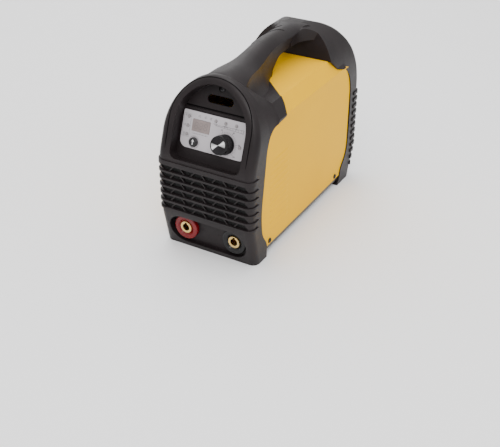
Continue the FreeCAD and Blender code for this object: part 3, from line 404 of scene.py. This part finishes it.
def surfaceOf(*names):
    # one search tree over the faces of several nodes
    vertices, faces = [], []
    for name in names:
        mesh = nodes[name].data
        base = len(vertices)
        vertices += [v.co.copy() for v in mesh.vertices]
        faces += [[base + i for i in p.vertices] for p in mesh.polygons]
    return BVHTree.FromPolygons(vertices, faces)


def tubeAlong(name, points, radius, steps=8, closed=False):
    # a closed round bead that follows a list of points
    bm = bmesh.new()
    rows = []
    count = len(points)
    for i, point in enumerate(points):
        if closed:
            ahead, back = points[(i + 1) % count], points[i - 1]
        else:
            ahead, back = points[min(i + 1, count - 1)], points[max(i - 1, 0)]
        along = (ahead - back).normalized()
        side = along.cross(Vector((0.13, 0.21, 1))).normalized()
        up = side.cross(along)
        fade = 1.0 if closed else min(1.0, 0.25 + 0.75 * min(i, count - 1 - i) / 3)
        rows.append([bm.verts.new(point + (side * math.cos(a) + up * math.sin(a)) * radius * fade)
                     for a in (2 * math.pi * k / steps for k in range(steps))])
    for i in range(count if closed else count - 1):
        a, b = rows[i], rows[(i + 1) % count]
        for k in range(steps):
            bm.faces.new((a[k], a[(k + 1) % steps], b[(k + 1) % steps], b[k]))
    if not closed:
        bm.faces.new(rows[0][::-1])
        bm.faces.new(rows[-1])
    return fromBmesh(name, bm)


def smoothPath(points, perSpan=8):
    # Catmull-Rom curve through the points
    result = []
    for i in range(len(points) - 1):
        a, b = points[max(i - 1, 0)], points[i]
        c, d = points[i + 1], points[min(i + 2, len(points) - 1)]
        for k in range(perSpan):
            t = k / perSpan
            result.append(0.5 * ((2 * b) + (c - a) * t + (2 * a - 5 * b + 4 * c - d) * t * t
                                 + (3 * b - a - 3 * c + d) * t ** 3))
    return result + [points[-1]]


def scatterTree(name, finish):
    # instances one piece on every point, turned by the point's own aim
    tree = bpy.data.node_groups.new(name, "GeometryNodeTree")
    face = tree.interface
    face.new_socket("Geometry", in_out="INPUT", socket_type="NodeSocketGeometry")
    face.new_socket("Piece", in_out="INPUT", socket_type="NodeSocketObject")
    face.new_socket("Size", in_out="INPUT", socket_type="NodeSocketFloat").default_value = 1.0
    face.new_socket("Geometry", in_out="OUTPUT", socket_type="NodeSocketGeometry")
    entry = tree.nodes.new("NodeGroupInput")
    leave = tree.nodes.new("NodeGroupOutput")
    info = tree.nodes.new("GeometryNodeObjectInfo")
    aim = tree.nodes.new("GeometryNodeInputNamedAttribute")
    aim.data_type = "QUATERNION"
    aim.inputs["Name"].default_value = "aim"
    onPoints = tree.nodes.new("GeometryNodeInstanceOnPoints")
    realize = tree.nodes.new("GeometryNodeRealizeInstances")
    paint = tree.nodes.new("GeometryNodeSetMaterial")
    paint.inputs["Material"].default_value = finish
    links = tree.links
    links.new(entry.outputs["Geometry"], onPoints.inputs["Points"])
    links.new(entry.outputs["Piece"], info.inputs["Object"])
    links.new(info.outputs["Geometry"], onPoints.inputs["Instance"])
    links.new(aim.outputs["Attribute"], onPoints.inputs["Rotation"])
    links.new(entry.outputs["Size"], onPoints.inputs["Scale"])
    links.new(onPoints.outputs["Instances"], realize.inputs["Geometry"])
    links.new(realize.outputs["Geometry"], paint.inputs["Geometry"])
    links.new(paint.outputs["Geometry"], leave.inputs["Geometry"])
    return tree


def scatter(name, piece, places, finish, body="case", size=1.0, smooth=35):
    # places holds (point, quaternion) pairs; the result is one plain mesh
    carrier = meshObject(name + "Points", [p for p, q in places], [])
    aims = carrier.data.attributes.new("aim", "QUATERNION", "POINT")
    for i, (point, turn) in enumerate(places):
        aims.data[i].value = tuple(turn)
    tree = scatterTree(name + "Nodes", finish)
    modifier = carrier.modifiers.new(name + "Nodes", "NODES")
    modifier.node_group = tree
    for item in tree.interface.items_tree:
        if item.name == "Piece":
            modifier[item.identifier] = piece
        elif item.name == "Size":
            modifier[item.identifier] = size
    bpy.context.view_layer.update()
    graph = bpy.context.evaluated_depsgraph_get()
    mesh = bpy.data.meshes.new_from_object(carrier.evaluated_get(graph))
    mesh.name = name
    if "aim" in mesh.attributes:
        mesh.attributes.remove(mesh.attributes["aim"])
    made = linkObject(bpy.data.objects.new(name, mesh))
    for old in (carrier, piece):
        bpy.data.objects.remove(old)
    return keep(made, finish, body, smooth)


def turnTo(direction, roll=0.0):
    return Vector((0, 0, 1)).rotation_difference(Vector(direction)) @ Quaternion((0, 0, 1), roll)


# ---- the leaning panel's own frame
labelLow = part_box("panel_label")[0]
panelOut = dialAxis.copy()
panelUp = panelOut.cross(Vector((1, 0, 0)))
labelThick = 0.0008
labelFoot = Vector((0, labelLow.y, labelLow.z + labelThick * panelOut.z))


def onPanel(x, height, lift=0.0):
    # a place on the label's face from its distance right of the middle and its height above the floor
    run = (height - labelFoot.z) / panelUp.z
    spot = labelFoot + panelUp * run + panelOut * lift
    return Matrix.Translation((x, spot.y, spot.z)) @ Matrix((
        (1, panelUp.x, panelOut.x), (0, panelUp.y, panelOut.y), (0, panelUp.z, panelOut.z))).to_4x4()


print("panel frame ready")

# ---- print and trim on the control panel
panelPrint = {"ink": 0.00005, "line": 0.00035, "digit": 0.0026,
              "dialHeight": 143.5, "keySpot": (-25.4, 137.3),
              "scaleNumbers": ["0", "20", "40", "60", "80", "100"],
              "lights": [(-1.0, 165.0), (12.0, 165.0), (26.0, 165.0), (-36.5, 163.5), (-36.5, 153.5),
                         (-36.5, 144.0), (34.2, 143.7)]}


def mm(x, height, lift=0.0):
    return onPanel(x / 1000, height / 1000, lift)


def addLine(bm, a, b, width, place):
    along = (Vector(b) - Vector(a)).normalized() * width / 2
    side = Vector((-along.y, along.x))
    corners = [Vector(a) - along + side, Vector(a) - along - side,
               Vector(b) + along - side, Vector(b) + along + side]
    addPrism(bm, [(c.x, c.y) for c in corners], panelPrint["ink"], place)


def addText(target, words, size, place):
    # generic figures only, joined in to the print as a closed raised mesh
    curve = bpy.data.curves.new("figures", "FONT")
    curve.body = words
    curve.size = size
    curve.extrude = panelPrint["ink"] / 2
    curve.resolution_u = 3
    curve.align_x, curve.align_y = "CENTER", "CENTER"
    holder = linkObject(bpy.data.objects.new("figures", curve))
    bpy.context.view_layer.update()
    mesh = bpy.data.meshes.new_from_object(holder.evaluated_get(bpy.context.evaluated_depsgraph_get()))
    mesh.transform(place @ Matrix.Translation((0, 0, panelPrint["ink"] / 2)))
    target.from_mesh(mesh)
    bpy.data.objects.remove(holder)
    bpy.data.meshes.remove(mesh)


def makePanelPrint():
    bm = bmesh.new()
    ink, line = panelPrint["ink"], panelPrint["line"]
    dial = (dialSpot.x * 1000, panelPrint["dialHeight"])
    for i in range(31):  # scale round the knob
        angle = math.radians(225 - 270 * i / 30)
        long = i % 6 == 0
        a, b = 0.0128, 0.0150 if long else 0.0141
        place = mm(*dial)
        c, n = math.cos(angle), math.sin(angle)
        addLine(bm, (a * c, a * n), (b * c, b * n), line if long else line * 0.7, place)
    for i, figure in enumerate(panelPrint["scaleNumbers"]):
        angle = math.radians(225 - 270 * i / 5)
        place = mm(*dial) @ Matrix.Translation((0.0172 * math.cos(angle), 0.0166 * math.sin(angle), 0))
        addText(bm, figure, panelPrint["digit"], place)
    wedge = mm(12.0, 160.6)  # slim wedge that grows with the current
    edges = [((-0.0125, -0.0002), (0.024, -0.0018)), ((0.024, -0.0018), (0.024, 0.0018)),
             ((0.024, 0.0018), (-0.0125, 0.0006)), ((-0.0125, 0.0006), (-0.0125, -0.0002))]
    for a, b in edges:
        addLine(bm, a, b, line * 0.8, wedge)
    for i in range(9):
        x = -0.008 + i * 0.0036
        grow = (x + 0.0125) / 0.0365
        addLine(bm, (x, -0.0001 - 0.0016 * grow), (x, 0.0005 + 0.0012 * grow), line * 0.6, wedge)
    for k, (x, z) in enumerate(panelPrint["lights"]):
        ring = mm(x, z)
        addRing(bm, 0.0019, 0.00025, ink, ring, steps=24)
        if k < 3:  # small bars under the lights of the top row
            addLine(bm, (-0.0026, -0.0032), (0.0026, -0.0032), line, ring)
            addLine(bm, (-0.0016, -0.0040), (0.0016, -0.0040), line * 0.7, ring)
        elif k < 6:  # mode signs beside the lights of the side column
            sign = mm(x - 3.9, z)
            for part in range(k - 1):
                y = 0.0012 - part * 0.0010
                addLine(bm, (-0.0011, y), (0.0011, y + 0.0004), line * 0.8, sign)
    for x, z, w, h in ((-22.5, 166.0, 3.0, 2.0), (-14.5, 166.0, 2.6, 2.0), (-7.2, 166.0, 2.6, 2.0)):
        sign = mm(x, z)
        addRing(bm, w / 2000, 0.0003, ink, sign, 40, 320, 20, h / w)
        addLine(bm, (0, -h / 2600), (0, h / 2600), line * 0.8, sign)
    frameSign = mm(-36.8, 153.7)
    corners = [(-0.0062, -0.0132), (0.0032, -0.0132), (0.0032, 0.0132), (-0.0062, 0.0132)]
    for a, b in zip(corners, corners[1:] + corners[:1]):
        addLine(bm, a, b, line * 0.6, frameSign)
    addLine(bm, (-0.0105, 0), (0.0105, 0), line * 0.8, mm(-19.1, 146.6))
    for x in (-8.0, -4.0, 0.0, 4.0, 8.0):
        addLine(bm, (x / 1000, 0.0), (x / 1000, 0.0009), line * 0.7, mm(-19.1, 146.6))
    addRing(bm, 0.0068, 0.0003, ink, mm(*panelPrint["keySpot"]), 0, 360, 48)
    bmesh.ops.recalc_face_normals(bm, faces=bm.faces)
    mesh = bpy.data.meshes.new("panelPrint")
    bm.to_mesh(mesh)
    bm.free()
    return keep(linkObject(bpy.data.objects.new("panelPrint", mesh)), inkGrey)


makePanelPrint()

displayDigits = {"height": 0.0072, "width": 0.0040, "bar": 0.0008, "pitch": 0.0062, "slant": 0.12,
                 "windowHeight": 155.6, "lift": 0.00042, "thick": 0.00002}
segmentGrey = glossyPlastic("segmentGrey", (0.18, 0.145, 0.14), 0.3, 0.3)


def makeDisplayDigits():
    # unlit seven-bar digits just over the surface of the window
    low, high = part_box("display_window")
    middle = (low + high) / 2
    place = mm(middle.x * 1000, displayDigits["windowHeight"], displayDigits["lift"])
    h, w, bar = displayDigits["height"], displayDigits["width"], displayDigits["bar"]
    slant, thick = displayDigits["slant"], displayDigits["thick"]
    bm = bmesh.new()
    for k in (-1, 0, 1):
        x0 = k * displayDigits["pitch"]
        for y in (-h / 2, 0, h / 2):
            left = x0 - w / 2 + bar * 0.7 + slant * y
            right = x0 + w / 2 - bar * 0.7 + slant * y
            addPrism(bm, [(left, y - bar / 2), (right, y - bar / 2),
                          (right, y + bar / 2), (left, y + bar / 2)], thick, place)
        for x in (x0 - w / 2, x0 + w / 2):
            for y in (-h / 4, h / 4):
                reach = h / 4 - bar * 0.7
                foot, head = x + slant * (y - reach), x + slant * (y + reach)
                addPrism(bm, [(foot - bar / 2, y - reach), (foot + bar / 2, y - reach),
                              (head + bar / 2, y + reach), (head - bar / 2, y + reach)], thick, place)
    return keep(fromBmesh("displayDigits", bm), segmentGrey)


makeDisplayDigits()


keyArrow = {"lift": 0.00302, "stem": 0.0006, "barb": 0.0019, "foot": -0.0030, "neck": 0.0008, "tip": 0.0034,
            "thick": 0.00004}


def makeKeyArrow():
    # white pointer on the push button, which moves with it
    low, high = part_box("mode_button")
    middle = (low + high) / 2
    bm = bmesh.new()
    place = mm(middle.x * 1000, panelPrint["keySpot"][1], keyArrow["lift"])
    stem, barb, foot, neck = keyArrow["stem"], keyArrow["barb"], keyArrow["foot"], keyArrow["neck"]
    addPrism(bm, [(-stem, foot), (stem, foot), (stem, neck), (barb, neck), (0, keyArrow["tip"]),
                  (-barb, neck), (-stem, neck)], keyArrow["thick"], place)
    return keep(fromBmesh("keyPointer", bm), inkWhite, "mode_key")


makeKeyArrow()

ledge = {"height": 173.6, "half": 0.0440, "thick": 0.0016, "tall": 0.0022, "radius": 0.0007}
recessFloor = -labelThick


def makeLedge():
    # rounded bar across the recess above the label, with a dark strip over it: painted shade standing for the
    # groove there
    bm = bmesh.new()
    place = mm(0, ledge["height"], recessFloor)
    half, tall = ledge["half"], ledge["tall"] / 2
    addPrism(bm, [(-half, -tall), (half, -tall), (half, tall), (-half, tall)], ledge["thick"], place)
    bar = fromBmesh("recessBar", bm)
    round = bar.modifiers.new("round", "BEVEL")
    round.width, round.segments = ledge["radius"], 3
    keep(bar, finishes["black_plastic"], smooth=40)
    bm = bmesh.new()
    place = mm(0, ledge["height"] + 2.3, recessFloor)
    addPrism(bm, [(-half, -0.0007), (half, -0.0007), (half, 0.0007), (-half, 0.0007)], 0.0002, place)
    keep(fromBmesh("recessGroove", bm), paintedGrooveShade)


makeLedge()
print("panel details ready")

# ---- knob: fine ribs round its side
knob = {"ribs": 60, "rib": 0.00045, "radius": 0.01085, "foot": 0.0042, "head": 0.0135}


def makeKnobRibs():
    # the ribs stand round the side of the knob and turn with it
    bm = bmesh.new()
    length = knob["head"] - knob["foot"]
    bmesh.ops.create_cone(bm, cap_ends=True, segments=6, radius1=knob["rib"], radius2=knob["rib"] * 0.8,
                          depth=length)
    piece = fromBmesh("knobRib", bm)
    base = mm(dialSpot.x * 1000, panelPrint["dialHeight"])
    turn = base.to_quaternion()
    places = []
    for i in range(knob["ribs"]):
        angle = 2 * math.pi * i / knob["ribs"]
        spot = Vector((knob["radius"] * math.cos(angle), knob["radius"] * math.sin(angle),
                       knob["foot"] + length / 2))
        places.append((base @ spot, turn))
    return scatter("knobRibs", piece, places, finishes["knob_black"], "dial")


makeKnobRibs()

# ---- cross-head screws
screw = {"radius": 0.0035, "tall": 0.0016, "slotWide": 0.0009, "slotLong": 0.0042, "slotDeep": 0.0009,
         "coverStand": 0.0012, "fanStand": 0.0022}


def screwHead():
    # domed head, closed, with a cross pressed in by lowering the points that lie on it
    bm = bmesh.new()
    rings, steps = 9, 32
    rows = []
    for r in range(rings + 1):
        t = r / rings
        radius = screw["radius"] * t
        if r == 0:
            rows.append([bm.verts.new((0, 0, screw["tall"] - screw["slotDeep"]))])
            continue
        row = []
        for i in range(steps):
            a = 2 * math.pi * i / steps
            x, y = radius * math.cos(a), radius * math.sin(a)
            z = screw["tall"] * (1 - 0.75 * t ** 4)
            near, far = sorted((abs(x), abs(y)))
            crossed = near < screw["slotWide"] / 2 and far < screw["slotLong"] / 2
            row.append(bm.verts.new((x, y, z - (screw["slotDeep"] if crossed else 0))))
        rows.append(row)
    base = [bm.verts.new((v.co.x, v.co.y, -0.0002)) for v in rows[-1]]
    rows.append(base)
    for low, high in zip(rows, rows[1:]):
        for i in range(steps):
            j = (i + 1) % steps
            if len(low) == 1:
                bm.faces.new((low[0], high[i], high[j]))
            else:
                bm.faces.new((low[i], high[i], high[j], low[j]))
    bm.faces.new(base[::-1])
    return fromBmesh("screwHead", bm)


def makeScrews():
    places = []
    for low, high in islandBoxes("cover_screws"):
        side = 1 if low.x > 0 else -1
        outer = max(abs(low.x), abs(high.x)) - screw["coverStand"]
        spot = Vector((side * outer, (low.y + high.y) / 2, (low.z + high.z) / 2))
        places.append((spot, turnTo((side, 0, 0), 0.6 * side)))
    heads = scatter("coverScrewHeads", screwHead(), places, darkSteel)
    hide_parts("cover_screws")
    places = []
    for low, high in islandBoxes("fan_screws"):
        spot = Vector(((low.x + high.x) / 2, high.y - screw["fanStand"], (low.z + high.z) / 2))
        places.append((spot, turnTo((0, 1, 0), 0.3)))
    heads = scatter("fanScrewHeads", screwHead(), places, finishes["zinc_steel"])
    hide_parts("fan_screws")
    low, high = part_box("panel_screw")
    centre = (low + high) / 2
    places = [(centre - panelOut * 0.0002, turnTo(panelOut, 0.4))]
    heads = scatter("panelScrewHead", screwHead(), places, darkSteel)
    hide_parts("panel_screw")


makeScrews()
print("screws ready")

# ---- pressed louvres low on both sides of the sheet cover
louvre = {"rows": 12, "first": 0.034, "pitch": 0.008, "front": -0.098, "length": 0.046, "tall": 0.0042,
          "proud": 0.0007}


def louvrePiece():
    # long lens that rises gently from the sheet and ends in a sharper lower lip
    bm = bmesh.new()
    rows, across = 20, 6
    grid = []
    for i in range(rows + 1):
        u = -1 + 2 * i / rows
        line = []
        for k in range(across + 1):
            v = k / across
            width = (1 - abs(u) ** 6) ** 0.5
            lift = louvre["proud"] * width * math.sin(math.pi * v * 0.62) if 0 < v < 1 else 0
            height = (v - 0.5) * louvre["tall"] * (0.35 + 0.65 * width)
            line.append(bm.verts.new((height, u * louvre["length"] / 2, lift)))
        grid.append(line)
    for i in range(rows):
        for k in range(across):
            bm.faces.new((grid[i][k], grid[i + 1][k], grid[i + 1][k + 1], grid[i][k + 1]))
    rim = [grid[i][0] for i in range(rows + 1)] + [grid[rows][k] for k in range(1, across + 1)]
    rim += [grid[i][across] for i in range(rows - 1, -1, -1)]
    rim += [grid[0][k] for k in range(across - 1, 0, -1)]
    low = [bm.verts.new((v.co.x, v.co.y, -0.0002)) for v in rim]
    for i in range(len(rim)):
        j = (i + 1) % len(rim)
        bm.faces.new((rim[i], rim[j], low[j], low[i]))
    bm.faces.new(low)
    return fromBmesh("louvrePiece", bm)


def makeLouvres():
    low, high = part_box("side_cover")
    places = []
    for side in (-1, 1):
        face = side * max(abs(low.x), abs(high.x))
        for i in range(louvre["rows"]):
            z = louvre["first"] + i * louvre["pitch"]
            turn = turnTo((side, 0, 0))
            if side < 0:
                turn = turn @ Quaternion((0, 0, 1), math.pi)
            places.append((Vector((face, louvre["front"] + louvre["length"] / 2, z)), turn))
    return scatter("sideLouvres", louvrePiece(), places, finishes["yellow_paint"],
                   smooth=50)


makeLouvres()
print("louvres ready")

# ---- dark sheet behind the front grille: painted shade that stands in for the dark inside of the case, with a foam-like cell texture
filterPad = {"inset": 0.0002, "thick": 0.0035, "half": 0.0575, "foot": 0.0485, "head": 0.1125,
             "wall": 0.0041}
# near-black finish of the painted shade sheet; the cells only vary its tone slightly
grilleShadeFinish, grilleShadeTree, grilleShadeShader, grilleShadeWhere = newFinish("paintedShadeFoam", (0.006, 0.006, 0.006), 0.9)
grilleShadeCells = addNode(grilleShadeTree, "ShaderNodeTexVoronoi", {"Scale": 900.0}, feature="F1")
grilleShadeTree.links.new(grilleShadeWhere, grilleShadeCells.inputs["Vector"])
grilleShadeCellTone = rampBetween(grilleShadeTree, grilleShadeCells.outputs["Distance"], (0.012, 0.011, 0.011),
                        (0.002, 0.002, 0.002), 0.1, 0.6)
grilleShadeTree.links.new(grilleShadeCellTone, grilleShadeShader.inputs["Base Color"])
bumpFrom(grilleShadeTree, grilleShadeShader, grilleShadeCells.outputs["Distance"], 0.8, 0.0006)


def makeGrilleShadeSheet():
    # the sheet sits just inside the grille, where the case shows only shade
    low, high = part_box("front_cover")
    front = low.y + filterPad["wall"] + filterPad["inset"]
    bm = bmesh.new()
    half, foot, head = filterPad["half"], filterPad["foot"], filterPad["head"]
    place = Matrix.Translation((0, front + filterPad["thick"], 0))
    place = place @ Matrix.Rotation(math.radians(90), 4, "X")
    addPrism(bm, [(-half, foot), (half, foot), (half, head), (-half, head)], filterPad["thick"], place)
    shadeSheet = fromBmesh("filterPad", bm)
    soften = shadeSheet.modifiers.new("soften", "BEVEL")
    soften.width, soften.segments = 0.0012, 3
    return keep(shadeSheet, grilleShadeFinish, smooth=60)


makeGrilleShadeSheet()

# ---- dark beads on the grip and round the recess: painted shade that stands for the grooves moulded there
gripLine = {"radius": 0.0007, "sink": 0.0003,
            "paths": [[(-0.012, -0.014), (-0.0125, 0.000), (-0.0085, 0.013), (-0.003, 0.027),
                       (0.0075, 0.036)],
                      [(-0.0135, 0.012), (-0.0125, 0.026), (-0.009, 0.041), (-0.004, 0.052)]]}


def makeGripLines():
    shell = surfaceOf("carry_handle", "front_cover", "rear_cover")
    for k, path in enumerate(gripLine["paths"]):
        points = []
        for spot in smoothPath([Vector((x, y, 0.3)) for x, y in path], 10):
            hit = shell.ray_cast(spot, Vector((0, 0, -1)))[0]
            if hit:
                points.append(hit - Vector((0, 0, gripLine["sink"])))
        bead = tubeAlong("gripLine%d" % (k + 1), points, gripLine["radius"])
        keep(bead, paintedGrooveShade, smooth=60)


makeGripLines()

bezelLine = {"radius": 0.0006, "half": 0.0535, "foot": 0.1235, "spring": 0.160, "crown": 0.2115,
             "sink": 0.0002}


def makeBezelLine():
    # thin dark bead that frames the recess on the leaning face: painted shade for the moulded line there
    shell = surfaceOf("front_cover")
    outline = [(bezelLine["half"], bezelLine["foot"] + i * 0.004) for i in range(10)]
    reach = bezelLine["crown"] - bezelLine["spring"]
    outline += [(bezelLine["half"] * math.cos(a), bezelLine["spring"] + reach * math.sin(a))
                for a in (math.pi * i / 48 for i in range(1, 24))]
    points = []
    for side in (1, -1):
        for x, z in (outline if side > 0 else outline[::-1]):
            start = onPanel(side * x, z, 0.06).to_translation()
            hit = shell.ray_cast(start, -panelOut)[0]
            if hit:
                points.append(hit - panelOut * bezelLine["sink"])
    bead = tubeAlong("bezelLine", points, bezelLine["radius"])
    return keep(bead, paintedGrooveShade, smooth=60)


makeBezelLine()
print("painted groove shade lines ready")

# ---- marks on the rocker and between the sockets
rockerMarks = {"ink": 0.00006, "offset": 0.0048, "stroke": 0.0016, "half": 0.0002}


def makeRockerMarks():
    # a stroke and a ring on the two ends of the rocker
    low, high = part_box("power_rocker")
    middle = (low + high) / 2
    shell = surfaceOf("power_rocker")
    bm = bmesh.new()
    for sign, offset in (("ring", -rockerMarks["offset"]), ("stroke", rockerMarks["offset"])):
        start = Vector((middle.x, high.y + 0.02, middle.z + offset))
        hit, normal = shell.ray_cast(start, Vector((0, -1, 0)))[:2]
        if not hit:
            continue
        turn = normal.to_track_quat("Z", "Y").to_matrix().to_4x4()
        place = Matrix.Translation(hit + normal * 0.00001) @ turn
        if sign == "ring":
            addRing(bm, 0.0013, 0.0004, rockerMarks["ink"], place, steps=24)
        else:
            long, half = rockerMarks["stroke"], rockerMarks["half"]
            outline = [(-long, -half), (long, -half), (long, half), (-long, half)]
            addPrism(bm, outline, rockerMarks["ink"], place)
    return keep(fromBmesh("rockerMarks", bm), inkWhite, "rocker")


makeRockerMarks()
socketMarks = {"size": 0.0052, "stroke": 0.0010, "raise": 0.0003, "height": 0.0255}


def makeSocketMarks():
    # raised plus and minus signs between the sockets
    shell = surfaceOf("front_cover")
    bm = bmesh.new()
    for x, plus in ((-0.0115, True), (0.0115, False)):
        hit = shell.ray_cast(Vector((x, -0.3, socketMarks["height"])), Vector((0, 1, 0)))[0]
        place = Matrix.Translation(hit + Vector((0, 0.00005, 0)))
        place = place @ Matrix.Rotation(math.radians(90), 4, "X")
        long, wide = socketMarks["size"] / 2, socketMarks["stroke"] / 2
        outline = [(-long, -wide), (long, -wide), (long, wide), (-long, wide)]
        if plus:
            outline = [(-long, -wide), (-wide, -wide), (-wide, -long), (wide, -long), (wide, -wide),
                       (long, -wide), (long, wide), (wide, wide), (wide, long), (-wide, long),
                       (-wide, wide), (-long, wide)]
        addPrism(bm, outline, socketMarks["raise"], place)
    return keep(fromBmesh("socketMarks", bm), finishes["black_plastic"])


makeSocketMarks()
print("marks ready")
